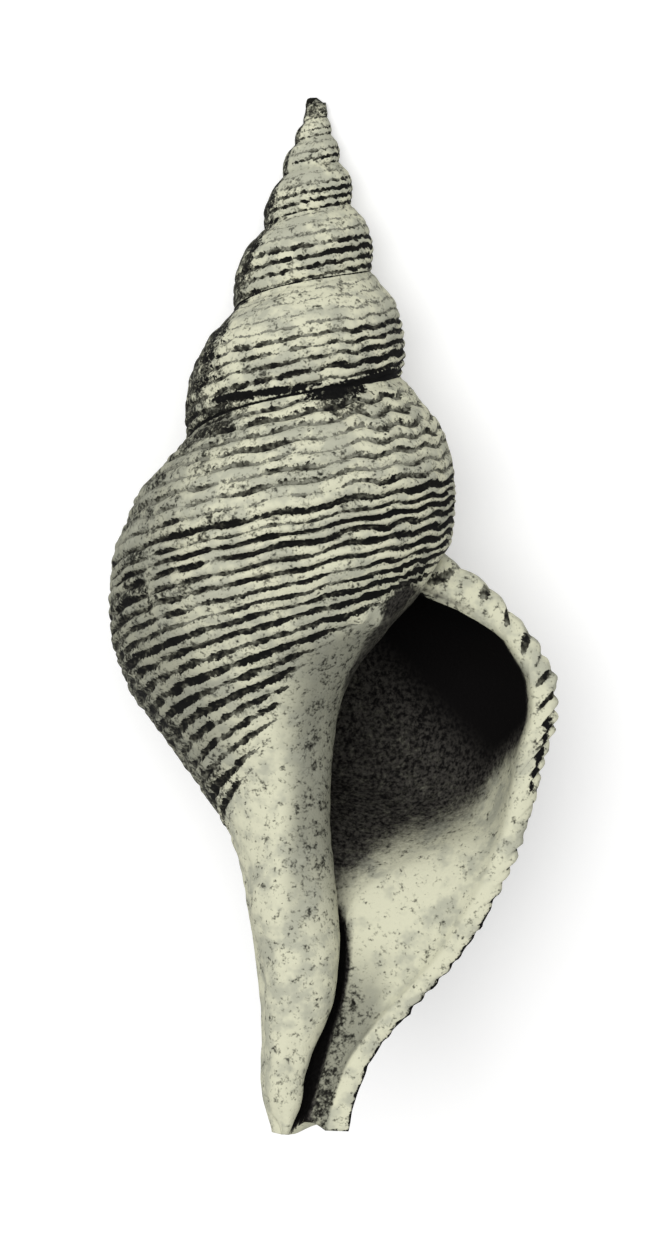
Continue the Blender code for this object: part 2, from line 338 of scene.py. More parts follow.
def sharp(turns, place):
    """1 where the grooves are black, 0 on the worn shoulder, where they are narrower and grey with
    painted light.
    """
    right = near(turns, *RIGHT_SIDE)
    low = fade(place, mix(48.5, 42.0, right), mix(42.5, 37.0, right))
    return low * fade(turns, 2.2, 1.2) + fade(place, 48.0, 43.5) * fade(turns, 1.2, 2.2)


def groove_width(turns, depth):
    """Half the width of the nearest groove, where 0.5 would reach the middle of the cord."""
    place = depth / size_at(turns)
    number = np.round(cord_number(turns, depth))
    right, left = near(turns, *RIGHT_SIDE), near(turns, *LEFT_SIDE)
    # The grooves are widest at the right and low down, and narrow on the worn shoulder and high up
    # at the left.
    width = mix(0.20, 0.30, right) * mix(0.75, 1.2, hit_or_miss(number, 5.0))
    low_side = near(turns, 0.55, 0.05, 0.12) * (turns < 1)
    low_down = fade(place, 58.0, 54.0) * np.maximum(fade(turns, 0.75, 0.62), low_side)
    width = width * mix(1.0, 1.2, low_down)
    width = width * mix(1.0, 0.82, near(turns, 0.5, 0.06, 0.16) * fade(place, 50.0, 55.0))
    width = width * mix(mix(0.75, 0.55, right), 1.0, sharp(turns, place))
    # They widen and narrow along the way, and some close where growth paused.
    width = width + mix(0.06, 0.04, right) * drift(turns * 17, number)
    width = width + mix(0.06, 0.04, right) * drift(turns * 43 + 0.3, number + 40)
    swell = np.maximum(drift(turns * PAUSES + 0.5, np.floor(number / 2) + 80), 0.0)
    width = width + 0.08 * low_side * swell
    filled = mix(0.1, 1.0, np.maximum(left, 0.6 * near(turns, 0.62, 0.08, 0.20)))
    filled = filled * mix(1.0, 0.35, fade(place, 57.0, 53.0))
    width = width * (1 - filled * pause(turns, depth))
    # They are thin on the oldest whorls and on the earlier ones' shoulders, and end at the lip, the
    # callus and the seams.
    width = width * mix(1.0, 0.55, fade(turns, 5.5, 3.6))
    width = np.where(turns > 1.4, width * mix(0.25, 1.0, fade(place, 45.5, 40.5)), width)
    lip = mix(1.0, 0.3, fade(turns, 0.0, 0.03))
    seams = fade(place, 34.95, 35.6) + fade(place, 54.75, 54.2) * (turns >= 1)
    return np.clip(width, 0.0, 0.38) * lip * (1 - callus_share(turns, depth)) * (1 - seams)


# Heights and cuts of the relief.
CORD_HEIGHTS = (0.07, 0.12)  # the cords stand out most at the left
GROOVE_CUT = 0.42
RIB_HEIGHT = 0.17
SEAM_CUT = 0.32
TOOTH_HEIGHT = 0.12
BUMP_HEIGHT = 0.32
LIP_SWELL = 0.16
TIP_SWELL = 0.34  # the spire's worn top is a little fuller than the spiral, more so at its left
POINT_TRIM = 0.5  # the pillar's point is trimmed at its left
PILLAR_TRIM = 0.65  # and the pillar above it at its right


def teeth(turns, depth):
    """The small chips along the lip's edge."""
    chips = TOOTH_HEIGHT * (drift(depth / 0.47, 71.0) + 0.8 * drift(depth / 1.15, 72.0))
    chips = chips * fade(turns, 0.0, 0.012)
    return chips * fade(depth, 73.0, 77.0) * fade(depth, 44.0, 38.0)


# Small whitish bumps of callus over the hollow: (turns back, place, half length, half height).
BUMPS = (
    (0.806, 60.2, 0.014, 0.9),
    (0.832, 60.7, 0.013, 0.8),
    (0.860, 61.6, 0.012, 0.7),
)


def bumps(turns, place):
    height = 0.0
    for centre, centre_place, long, high in BUMPS:
        off = np.hypot((turns - centre) / long, (place - centre_place) / high)
        height = np.maximum(height, fade(off, 0.3, 1.3))
    return height


def relief(turns, depth):
    """Height of the surface above the plain whorl, in millimetres."""
    size = size_at(turns)
    place = depth / size
    # Worn uneven, most at the left and on the last whorl.
    plain = at(turns, outer_radius(turns, depth), depth)
    rough = 0.06 * lumps(plain, 4.2, 1) + 0.035 * lumps(plain, 1.5, 2)
    rough = rough * mix(1.0, 2.0, near(turns, 0.5, 0.06, 0.15) * (turns < 1.2))
    rough = rough + 0.09 * lumps(plain, 2.3, 3) * fade(turns, 1.6, 1.1)
    rough = rough * mix(1.0, 0.6, fade(turns, 3.0, 1.0))
    # Round cords with grooves between them, and low ribs across. They flatten at the lip, and a
    # shallow trough takes their place at the seams.
    number = cord_number(turns, depth)
    to_groove = np.abs(number - np.round(number))
    cords = 1 - callus_share(turns, depth)
    width = groove_width(turns, depth)
    groove = np.exp(-((to_groove / (0.1 + 0.6 * width)) ** 2)) * np.clip(width / 0.16, 0.0, 1.3)
    rib = np.cos(2 * np.pi * RIBS * turns + drift(turns * 9, 8.0))
    rib = rib * fade(np.abs(place - 45.0), 3.0, 12.0)
    seam = np.maximum(fade(place, 34.9, 36.2), fade(place, 54.8, 53.9) * (turns >= 1))
    knobbly = mix(*CORD_HEIGHTS, near(turns, 0.5, 0.08, 0.2))
    height = knobbly * cords * np.cos(2 * np.pi * (number + 0.5)) * fade(turns, 0.02, 0.05)
    height = height - GROOVE_CUT * groove + RIB_HEIGHT * rib * fade(turns, 0.02, 0.2)
    height = height * mix(1.0, 0.45, fade(turns, 0.0, 0.03) * fade(depth, 56.0, 50.0))
    height = height * (1 - seam) - SEAM_CUT * seam * fade(turns, 0.0, -0.1)
    # The whole shell is fuller at the spire's top and the lip, and trimmed at the pillar.
    age = turns + fade(place, 35.0, 42.0)
    fuller = TIP_SWELL * fade(age, 8.6, 6.2)
    fuller = fuller * mix(1.0, 2.5, near(turns, 0.5, 0.05, 0.22) * fade(turns, 5.0, 6.0))
    trim = -POINT_TRIM * fade(depth, TIP_DEPTH, 77.2) * near(turns, 0.5, 0.18, 0.36)
    pillar_side = fade(depth, 75.0, 69.5) * fade(depth, 76.0, 79.0)
    trim = trim - PILLAR_TRIM * pillar_side * near(turns, 0.97, 0.12, 0.3) * (turns > 0.6)
    full_lip = LIP_SWELL * fade(turns, 0.0, 0.04) * fade(np.abs(depth - 49.0), 3.0, 8.0)
    return size * height + rough + (
        fuller + trim + full_lip + teeth(turns, depth) + BUMP_HEIGHT * bumps(turns, place)
    )


def at(turns, radius, depth):
    angle = 2 * np.pi * turns
    return np.stack([radius * np.cos(angle), radius * np.sin(angle), -depth], -1)


MOST_SLOPE = 2.5


def outside_point(turns, depth):
    """A place on the outside, cords and all."""
    slope = np.clip(slope_at(turns, depth), -MOST_SLOPE, MOST_SLOPE)
    height = relief(turns, depth) / np.hypot(1, slope)
    return at(turns, outer_radius(turns, depth) + height, depth - height * slope)


# The sheets: how many rows and columns of small squares each one has.
STEPS = 160  # in each turn
WHORL_ROWS = (118, 84, 56, 38, 26, 18, 12, 8)  # between two seams, from the last whorl up
BASE_ROWS = 108  # from the lower seam's line to the bottom of the canal
LINING_STEPS = 75
LINING_ROWS = 64
RIM_ROWS = 7
CORNER_TURNS = 0.2  # the base's first row comes up to the mouth's upper corner over this


def wrapped_sheet(name, turns, depths, places):
    """A grid sheet with a column for each step of turns, and its vertices put at their places."""
    columns, rows = depths.shape
    bpy.ops.object.select_all(action="DESELECT")
    bpy.ops.mesh.primitive_grid_add(x_subdivisions=rows - 1, y_subdivisions=columns - 1)
    sheet = bpy.context.object
    sheet.name = name
    mesh = sheet.data
    mesh.vertices.foreach_set("co", (places * MM).astype(np.float32).ravel())
    turns = np.broadcast_to(turns, depths.shape)
    for layer, values in (("turns", turns), ("depth", depths)):
        mesh.attributes.new(layer, "FLOAT", "POINT").data.foreach_set(
            "value", np.ascontiguousarray(values, np.float32).ravel()
        )
    mesh.attributes.new("inner", "FLOAT", "POINT")
    mesh.attributes.new("sewn", "INT", "POINT")
    return sheet


def mark(sheet, layer, values):
    sheet.data.attributes[layer].data.foreach_set("value", np.asarray(values).ravel())


def mark_ends(sheet, shape, first=0, last=0, rows=None):
    """Numbers a sheet's first column and its last one's first rows, so that they can be sewn."""
    ends = np.zeros(shape, np.int32)
    ends[0] = first
    ends[-1, :rows] = last
    mark(sheet, "sewn", ends)


# The outside, a whorl at a time. The last whorl goes on down to the end of the canal.
sheets = []
sewing = []
for whorl, rows in enumerate(WHORL_ROWS):
    first = whorl * STEPS + (whorl > 0)
    last = min((whorl + 1) * STEPS, int(SPIRE_TURNS * STEPS))
    turns = (np.arange(first, last + 1) / STEPS)[:, None]
    upper, lower = seam_depth(turns), seam_depth(turns - 1)
    depths = mix(upper, lower, np.arange(rows + 1) / rows)
    if whorl == 0:
        bottom = bottom_depth(turns)
        below_seam = mix(lower, bottom, 1 / BASE_ROWS)
        beyond = mix(below_seam, HOLLOW_TOP_DEPTH, fade(turns, 1.0, 1.0 - CORNER_TURNS))
        base = mix(beyond, bottom, np.arange(BASE_ROWS) / (BASE_ROWS - 1))
        depths = np.hstack([depths, base])
    on_seam = np.zeros(depths.shape)
    on_seam[:, 0] = 1
    places = outside_point(turns + on_seam, depths)
    sheet = wrapped_sheet(f"whorl_{whorl}", turns, depths, places)
    mark_ends(sheet, depths.shape, 2 * whorl, 2 * whorl + 1, rows + 1)
    if whorl:
        sewing.append((2 * whorl - 1, 2 * whorl))
    else:
        lip_places = places[0]
        base_edge = places[:, -1]
    sheets.append(sheet)

# The hollow's lining: its inner side lies on the whorl before, and its outer side is the wall.
WALL_LIP, RIM_EDGE, INNER_END, WALL_END = 101, 102, 103, 104
turns = (np.arange(LINING_STEPS + 1) / STEPS)[:, None]
top = HOLLOW_TOP_DEPTH * size_at(turns)
bottom = np.where(turns <= CANAL_OPEN, TIP_DEPTH, hollow_bottom(turns))
bottom[0] = bottom_depth(1.0)
depths = mix(top, bottom, np.arange(BASE_ROWS) / (BASE_ROWS - 1))
inner_places = outside_point(turns + 1, depths)
inner_side = wrapped_sheet("inner_side", turns + 1, depths, inner_places)
mark(inner_side, "inner", np.broadcast_to(turns, depths.shape))
mark_ends(inner_side, depths.shape, last=INNER_END)
sheets.append(inner_side)


def by_length(points):
    """How far along a row of points each one is, from 0 to 1."""
    lengths = np.linalg.norm(np.diff(points, axis=0), axis=1)
    along = np.concatenate([[0.0], np.cumsum(lengths)])
    return along / along[-1]


# The wall's rows are spread as the lip's are, so that the rim between the two is sewn on straight.
lip_count = np.arange(len(lip_places))
wall_count = np.linspace(0, len(lip_places) - 1, LINING_ROWS + 1)
row_share = np.interp(wall_count, lip_count, by_length(lip_places))
wall_bottom = hollow_bottom(turns)
depths = mix(top, wall_bottom, row_share)
wall_places = at(turns, wall_radius(np.broadcast_to(turns, depths.shape), depths), depths)
wall_places[:, 0] = outside_point(turns[:, 0] + 1, top[:, 0])
closed = turns[:, 0] > CANAL_OPEN
wall_places[closed, -1] = outside_point(turns[closed, 0] + 1, wall_bottom[closed, 0])
wall = wrapped_sheet("wall", turns, depths, wall_places)
mark(wall, "inner", np.maximum(np.broadcast_to(turns, depths.shape), 1e-4))
mark_ends(wall, depths.shape, WALL_LIP, WALL_END)
sheets.append(wall)
sewing.append((INNER_END, WALL_END))

# The lip's rounded rim, from the outside's edge to the wall's. It is flatter by the canal.
RIM_FORWARD = 0.62
share = by_length(lip_places)
edge = [np.interp(lip_count, wall_count, wall_places[0][:, i]) for i in range(3)]
inner_edge = np.stack(edge, -1)
across = np.arange(RIM_ROWS + 1) / (RIM_ROWS + 1)
rim_places = mix(lip_places[None], inner_edge[None], across[:, None, None])
forward = RIM_FORWARD * (4 * across * (1 - across)) ** 0.6
ends = np.clip(np.minimum(0.4 + 12 * share, 12 * (1 - share)), 0.0, 1.0)
flatter = mix(1.0, 0.45, fade(-lip_places[:, 2], 60.0, 53.0))
rim_places[..., 1] -= forward[:, None] * ends * flatter
rim_depths = -rim_places[..., 2]
rim = wrapped_sheet("rim", np.zeros((RIM_ROWS + 1, 1)), rim_depths, rim_places)
mark(rim, "inner", np.broadcast_to(0.0 - across[:, None], rim_depths.shape))
mark_ends(rim, rim_depths.shape, last=RIM_EDGE)
sheets.append(rim)
sewing.append((WALL_LIP, RIM_EDGE))

# The canal's end: across the lip's thickness, then over the pillar's point round a middle vertex,
# and a square that closes the step where the canal stops.
POINT_MIDDLE = (0.45, 0.08)  # turns and radius of the middle vertex
canal = int(round(CANAL_TURNS * STEPS))
end_turns = (np.arange(canal + 1) / STEPS)[:, None]
step_across = np.arange(RIM_ROWS + 2) / (RIM_ROWS + 1)
lip_outer, lip_inner = base_edge[: canal + 1, None], wall_places[: canal + 1, -1][:, None]
lip_end = mix(lip_outer, lip_inner, step_across[:, None])
sheets.append(wrapped_sheet("lip_end", end_turns, -lip_end[..., 2], lip_end))
loop = np.concatenate([base_edge[canal:], inner_places[1 : canal + 1, -1], lip_end[-1, ::-1]])
middle = at(*POINT_MIDDLE, TIP_DEPTH)
point_end = np.stack([loop, np.broadcast_to(middle, loop.shape)], 1)
end_turns = np.full((len(loop), 1), 0.5)
sheets.append(wrapped_sheet("point_end", end_turns, -point_end[..., 2], point_end))
behind = wall_places[canal + 1, -1]
canal_end = np.stack([inner_places[canal, -1], behind, wall_places[canal, -1], behind])
canal_end = canal_end.reshape(2, 2, 3)
end_turns = np.full((2, 1), CANAL_TURNS)
sheets.append(wrapped_sheet("canal_end", end_turns, -canal_end[..., 2], canal_end))

# The sheets become one, and the edges that face each other across a gap are bridged.
bpy.ops.object.select_all(action="DESELECT")
for sheet in sheets:
    sheet.select_set(True)
bpy.context.view_layer.objects.active = sheets[0]
bpy.ops.object.join()
shell = bpy.context.object
shell.name = "fossil_shell"
shell.data.name = "fossil_shell"


def values_of(mesh, layer, kind=float):
    values = np.zeros(len(mesh.vertices), np.int32 if kind is int else np.float32)
    mesh.attributes[layer].data.foreach_get("value", values)
    return values


def spots_of(mesh):
    """Where the vertices are, a row for each."""
    spots = np.zeros(len(mesh.vertices) * 3, np.float32)
    mesh.vertices.foreach_get("co", spots)
    return spots.reshape(-1, 3)


def edge_ends(mesh):
    ends = np.zeros(len(mesh.edges) * 2, np.int32)
    mesh.edges.foreach_get("vertices", ends)
    return ends.reshape(-1, 2)


def select_edges(obj, wanted):
    """Selects the edges that wanted is true for, in edit mode."""
    if obj.mode == "EDIT":
        bpy.ops.object.mode_set(mode="OBJECT")
    bpy.ops.object.mode_set(mode="EDIT")
    bpy.ops.mesh.select_mode(type="EDGE")
    bpy.ops.mesh.select_all(action="DESELECT")
    bpy.ops.object.mode_set(mode="OBJECT")
    obj.data.edges.foreach_set("select", wanted)
    bpy.ops.object.mode_set(mode="EDIT")


for one, other in sewing:
    if shell.mode == "EDIT":
        bpy.ops.object.mode_set(mode="OBJECT")
    sewn = values_of(shell.data, "sewn", int)[edge_ends(shell.data)]
    along = (sewn[:, 0] == sewn[:, 1]) & ((sewn[:, 0] == one) | (sewn[:, 0] == other))
    select_edges(shell, along)
    bpy.ops.mesh.bridge_edge_loops()

# The seams close where the edges lie on each other.
MERGE_WITHIN = 2e-6
bpy.ops.mesh.select_mode(type="VERT")
bpy.ops.mesh.select_all(action="SELECT")
bpy.ops.mesh.remove_doubles(threshold=MERGE_WITHIN)
bpy.ops.object.mode_set(mode="OBJECT")


def boundary_edges(mesh):
    """True for each edge that only one face has."""
    loops = np.zeros(len(mesh.loops), np.int32)
    mesh.loops.foreach_get("edge_index", loops)
    return np.bincount(loops, minlength=len(mesh.edges)) == 1


def close_to_point(obj, wanted, point):
    """Draws the selected open edge in to one point."""
    select_edges(obj, wanted)
    bpy.context.scene.cursor.location = point
    bpy.ops.mesh.extrude_edges_move()
    bpy.ops.mesh.merge(type="CURSOR")
    bpy.ops.object.mode_set(mode="OBJECT")


# The spire's open top is drawn in to a point.
TIP_TOP = 0.8  # depth of that point
SPIRE_TOP = 10.0  # only the open edge above this depth is drawn in
mesh = shell.data
heights = spots_of(mesh)[edge_ends(mesh)][..., 2].mean(1)
top_edge = boundary_edges(mesh) & (heights > -SPIRE_TOP * MM)
close_to_point(shell, top_edge, (0, 0, -TIP_TOP * MM))

# A small face closes the upper end of the rim.
select_edges(shell, boundary_edges(shell.data))
bpy.ops.mesh.edge_face_add()
bpy.ops.object.mode_set(mode="OBJECT")

# The oldest whorls are worn off blunt.
TIP_WEAR = 0.45  # the share of its height that the very tip has lost
mesh = shell.data
spots = spots_of(mesh)
below_top = -spots[:, 2] / MM - TIP_TOP
spots[:, 2] += below_top * MM * TIP_WEAR * fade(below_top, 0.3, 1.5)
mesh.vertices.foreach_set("co", spots.ravel())
mesh.update()

# Each corner of each face knows how far back it is and which cord it is on, across the seams too.
RIM_SLANT = 2.2  # the grooves run this much down as they cross the lip's rim
turns, depth, inner = (values_of(mesh, layer) for layer in ("turns", "depth", "inner"))
corners = np.zeros(len(mesh.loops), np.int32)
mesh.loops.foreach_get("vertex_index", corners)
starts, counts = np.zeros((2, len(mesh.polygons)), np.int32)
mesh.polygons.foreach_get("loop_start", starts)
mesh.polygons.foreach_get("loop_total", counts)
on_seam = (turns >= 1) & (inner == 0) & (np.abs(depth - seam_depth(turns - 1)) < 1e-3)
turns = np.where(on_seam, turns - 1, turns)
oldest = np.repeat(np.maximum.reduceat(turns[corners], starts), counts)
corner_turns = turns[corners]
corner_turns = np.where(oldest - corner_turns > 0.5, corner_turns + 1, corner_turns)
slanted = depth + RIM_SLANT * np.minimum(inner, 0.0)
corner_cords = cord_number(corner_turns, slanted[corners])
spiral = mesh.uv_layers[0]
spiral.name = "spiral"
laid_out = np.stack([corner_turns, corner_cords], -1).astype(np.float32)
spiral.uv.foreach_set("vector", laid_out.ravel())

# How it lies: on its back, with the spire's point down, and where that puts the axis's start.
REST_TIP = -21.5
AXIS_START = Vector((-2.521, 38.3218, -0.0012)) * MM


def rest_matrix():
    lay_down = Matrix.Rotation(-math.pi / 2, 4, "X")
    tip = Matrix.Rotation(math.radians(REST_TIP), 4, "X")
    return Matrix.Translation(AXIS_START) @ tip @ lay_down


# Laid down in the pose in which it rests. What would dip under the table is worn flat.
WORN_FLAT = 0.08 * MM
mesh.transform(rest_matrix())
laid_down = spots_of(mesh)
low = laid_down[:, 2] < 10 * WORN_FLAT
laid_down[low, 2] = WORN_FLAT * np.log1p(np.exp(laid_down[low, 2] / WORN_FLAT))
mesh.vertices.foreach_set("co", laid_down.ravel())
mesh.update()
shell.matrix_world = Matrix.Identity(4)
bpy.ops.object.mode_set(mode="EDIT")
bpy.ops.mesh.select_all(action="SELECT")
bpy.ops.mesh.normals_make_consistent(inside=False)
bpy.ops.object.mode_set(mode="OBJECT")
bpy.ops.object.shade_smooth()

# What each place has come to: painted shade in the grooves, the seams, the hollow and down the
# left side, and pale worn callus and lip.
spots = spots_of(mesh) / MM
across_x = spots[:, 0] - AXIS_START.x / MM
place = depth / size_at(turns)
callus = callus_share(turns, depth)
outside = inner == 0.0
on_rim = inner < 0
on_wall = (inner > 0) & (turns < 1)
on_inner_side = (inner > 0) & (turns >= 1)

# The grooves go on over the outer half of the lip's rim, as short dashes.
dash = hit_or_miss(np.round(cord_number(turns, slanted)), 33.0)
over_rim = mix(0.12, 0.24, dash) * fade(-inner, 0.2 + 0.3 * dash, 0.4 + 0.4 * dash)
over_rim = over_rim * fade(np.abs(depth - 44.5), 6.0, 8.0) * (dash > 0.2)
width = np.where(outside, groove_width(turns, depth), np.where(on_rim, over_rim, 0.0))

# Painted shade darkens the left side: all over it on the spire, and on the last whorl in cells
# between the pauses and the cords. The spire's tip is darkened as well.
ragged_edge = 0.022 * lumps(spots, 5.0, 4) + 0.010 * lumps(spots, 1.7, 5)
ragged_turns = turns + ragged_edge
left_side_shade = near(ragged_turns, 0.49, 0.06, 0.135)
shade = 0.85 * left_side_shade * fade(turns, 1.04, 1.0) * fade(place, 34.0, 33.0)
cells = near(ragged_turns, 0.50, 0.08, 0.19) * (turns < 1)
cells = cells * fade(np.abs(place - 46.0), 9.0, 15.0)
cell = hit_or_miss(np.floor(turns * PAUSES), np.floor(cord_number(turns, depth)) + 21.0)
dark_column = hit_or_miss(np.floor(turns * PAUSES), 12.0) > 0.45
dark_cell = cells * (cell > np.where(dark_column, 0.5, 0.85))
shade = np.maximum(shade, np.maximum(0.1 * cells, 0.6 * dark_cell))
low_flank = near(ragged_turns, 0.45, 0.06, 0.11) * (turns < 1)
low_flank = low_flank * fade(np.abs(place - 61.0), 7.0, 11.0)
shade = np.maximum(shade, 0.6 * low_flank)
shade = np.maximum(shade, 0.8 * fade(turns, 7.0, 6.4))

# Painted shade lies in patches by the last seams and over the hollow, and dark patches lie on the
# back too: (turns back, place, half length, half height, amount).
PATCHES = (
    (0.80, 36.2, 0.045, 2.6, 0.75),
    (0.61, 36.0, 0.065, 2.4, 1.00),
    (1.61, 53.9, 0.050, 1.6, 0.90),
    (1.62, 53.0, 0.045, 3.0, 0.60),
    (0.885, 60.0, 0.040, 1.8, 1.50),
    (0.20, 46.0, 0.100, 6.0, 0.40),
    (0.33, 60.0, 0.070, 8.0, 0.45),
)
for centre, centre_place, long, high, amount in PATCHES:
    off = np.hypot((turns - centre) / long, (place - centre_place) / high)
    shade = np.maximum(shade, amount * fade(off, 0.35, 1.15))

# The callus beside the hollow is greyed with painted shade, and so are the low left flank, the
# dark cells and the canal's wall beside its dark slit.
SLIT_EDGE = (  # how far out from the axis the canal's dark slit reaches: (depth, distance)
    (58.0, 3.3),
    (62.0, 3.3),
    (65.0, 4.3),
    (68.0, 4.45),
    (73.3, 3.3),
    (77.4, 2.3),
    (80.6, 1.7),
)
slit = smooth_curve(SLIT_EDGE, depth)
greyed = fade(turns, 0.79, 0.69) * (turns < 1) * fade(place, 63.0, 60.5) * fade(depth, 57.0, 68.0)
smooth_grey_shade = np.where(outside, 0.75 * greyed, 0.0)
flank = near(turns, 0.53, 0.05, 0.14) * (turns < 1) * fade(place, 66.0, 70.0)
smooth_grey_shade = np.maximum(smooth_grey_shade, 0.55 * flank * (1 - callus))
smooth_grey_shade = np.maximum(smooth_grey_shade, 0.35 * dark_cell)
canal_wall_shade = fade(depth, 71.0, 65.0) * fade(across_x, slit + 2.6, slit + 3.6)
smooth_grey_shade = np.where(on_wall, 0.7 * canal_wall_shade, smooth_grey_shade)
shade = np.where(outside, np.maximum(shade, 0.25 * greyed), 0.0)

# The grooves are grey rather than black on the shoulder, as painted light from above, and a
# little grey at the lower left.
low_left = near(turns, 0.5, 0.12, 0.24) * fade(place, 56.0, 50.0) * (turns < 1)
grey_groove_share = np.where(outside, np.maximum(1 - sharp(turns, place), 0.4 * low_left), 0.0)

# The seams hold a black line of painted shadow under the whorl above. Over the last one it grows
# to a band: a strand comes down to the seam from the left, the line thickens towards the right,
# and some lies under the seam there too. A black wedge of painted shade runs down the last
# whorl's left flank.
# (turns back, the strand's place), then (turns back, the line's thickness).
STRAND = ((1.58, 51.6), (1.61, 52.1), (1.66, 52.8), (1.71, 53.3), (1.80, 53.7))
THICKENS = ((1.70, 0.2), (1.75, 0.5), (1.82, 1.3), (1.88, 2.2), (1.95, 2.4))
strand = fade(np.abs(place - smooth_curve(STRAND, turns)), 0.0, 1.45)
strand = 1.06 * strand * fade(turns, 1.62, 1.57) * fade(turns, 1.72, 1.82)
thicker = smooth_curve(THICKENS, turns)
by_seam = fade(54.9 - place, thicker - 0.6, thicker + 1.2)
by_seam = by_seam * fade(turns, 1.80, 1.72) * fade(turns, 1.93, 1.97)
under_seam = fade(place, 35.0, 37.1) * fade(turns, 0.78, 0.72) * fade(turns, 0.79, 0.90)
band = 0.84 * np.maximum(strand, np.maximum(by_seam, under_seam))
above_seam = np.maximum(fade(place, 54.6, 53.8) * (turns >= 1), band)
seam_line = fade(place, 34.9, 35.5) * fade(turns, 0.40, 0.44)
wedge = near(ragged_turns, 0.575, 0.015, 0.045) * fade(turns, 1.04, 1.0) * fade(place, 48.0, 53.0)
seam_line = np.maximum(np.maximum(seam_line, above_seam), 0.55 * wedge)
seam_line = np.where(outside, seam_line, 0.0)

# A thin dark line follows the lip's edge low down, and a short one runs along the rim higher up.
edge_line = np.where(on_rim, fade(-inner, 0.05, 0.2), outside * fade(turns, 0.004, 0.014))
seam_line = np.maximum(seam_line, 0.75 * edge_line * fade(depth, 64.0, 58.0))
along_rim = fade(np.abs(-inner - 0.25), 0.0, 0.22) * fade(np.abs(depth - 51.0), 2.4, 3.4) * on_rim
seam_line = np.maximum(seam_line, 0.9 * along_rim)

# The hollow is painted black as shade above a slanting edge, darkest towards its top and right,
# and the wall below it is pale and clean. The canal's slit is painted black as shade too, and so
# is the strip of the whorl before that goes in beside the mouth.
# (distance out from the axis, depth of the edge), then (depth, the strip's start in turns back).
HOLLOW_EDGE = (
    (3.6, 61.9),
    (7.8, 58.4),
    (13.6, 55.6),
    (15.7, 51.9),
    (17.3, 50.0),
    (20.0, 47.5),
)
HOLLOW_SIDE = (
    (38.0, 0.90),
    (39.0, 0.878),
    (40.5, 0.868),
    (43.4, 0.865),
    (46.0, 0.87),
    (48.0, 0.90),
)
edge = smooth_curve(HOLLOW_EDGE, across_x)
high_up = fade(depth, edge - 2.8, edge + 2.6)
hollow_wall_shade = np.maximum(high_up * fade(inner, 0.012, 0.002), fade(inner, 0.17, 0.10))
deepest_shade = fade(depth - 1.06 * across_x, 31.0, 40.0)
slit_shade = fade(across_x, slit - 0.1, slit + 0.3) * fade(depth, 62.0, 60.0) * 1.5
hollow_wall_shade = np.maximum(hollow_wall_shade * (1 + 0.7 * deepest_shade), slit_shade)
side = smooth_curve(HOLLOW_SIDE, depth)
beside = fade(turns, side + 0.012, side - 0.016) * fade(turns, 0.98, 0.99)
beside = beside * fade(depth, 46.0, 48.0) * fade(depth, 39.2, 38.4)
# The rim's inner edge at the mouth's top takes the hollow's painted shade as well.
rim_shade = 0.75 * fade(-inner, 0.95, 0.62) * fade(depth, 39.3, 41.5)
hollow = np.where(on_inner_side, fade(inner, 0.04, 0.0), 0.0)
hollow = np.where(on_wall, hollow_wall_shade, hollow)
hollow = np.where(outside, 0.8 * beside, np.where(on_rim, rim_shade, hollow))
# The canal's wall beside the slit gets painted shade too.
canal_side_shade = fade(depth, 71.0, 66.0) * fade(across_x, slit + 1.0, slit + 2.4)
canal_side_shade = canal_side_shade * mix(0.55, 0.9, fade(depth, 79.0, 75.0))
shade = np.where(on_wall, np.maximum(shade, canal_side_shade), shade)

smoothness = np.where(outside, callus + 2 * bumps(turns, place), np.where(on_rim, 1.0, 2.0))
for layer, values in (
    ("width", width),
    ("shade", shade),
    ("callus", smoothness),
    ("hollow", hollow),
    ("seam", seam_line),
    ("grey", smooth_grey_shade),
    ("grey_grooves", grey_groove_share),
):
    here = mesh.attributes.new(layer, "FLOAT", "POINT")
    here.data.foreach_set("value", values.astype(np.float32))
mesh.attributes.remove(mesh.attributes["sewn"])

# The stone is dull all over. Its colour and its fine bumps are what change.
fossil = bpy.data.materials.new("fossil_stone")
fossil.use_nodes = True
nodes, links = fossil.node_tree.nodes, fossil.node_tree.links
surface = nodes["Principled BSDF"]
surface.inputs["Roughness"].default_value = 0.85
surface.inputs["Specular IOR Level"].default_value = 0.08


def put(kind, values=None, **settings):
    """A node of this kind, with its sockets set or linked."""
    made = nodes.new(kind)
    for name, value in settings.items():
        setattr(made, name, value)
    for name, value in (values or {}).items():
        if isinstance(value, bpy.types.NodeSocket):
            links.new(value, made.inputs[name])
        else:
            made.inputs[name].default_value = value
    return made


def maths(operation, *values):
    return put("ShaderNodeMath", dict(enumerate(values)), operation=operation).outputs[0]


def scaled(value, factor, offset=0.0):
    return maths("MULTIPLY_ADD", value, factor, offset)


def attribute(name):
    return put("ShaderNodeAttribute", attribute_name=name).outputs["Fac"]


def grain(scale, detail, rough, vector=None):
    """Soft random lumps, this many to the metre, from 0 to 1."""
    settings = {"Vector": vector or position, "Scale": scale, "Detail": detail, "Roughness": rough}
    return put("ShaderNodeTexNoise", settings).outputs["Fac"]


def ramp(value, low, high):
    """0 at low, 1 at high."""
    limits = {"Value": value, "From Min": low, "From Max": high}
    return put("ShaderNodeMapRange", limits, interpolation_type="SMOOTHSTEP").outputs["Result"]


def blend(share, a, b, kind="MIX"):
    """Colour a where the share is 0, b where it is 1."""
    made = put("ShaderNodeMix", data_type="RGBA", blend_type=kind)
    for socket, value in (("Factor", share), ("A", a), ("B", b)):
        target = next(i for i in made.inputs if i.name == socket and i.enabled)
        if isinstance(value, bpy.types.NodeSocket):
            links.new(value, target)
        else:
            target.default_value = value
    return next(o for o in made.outputs if o.enabled)


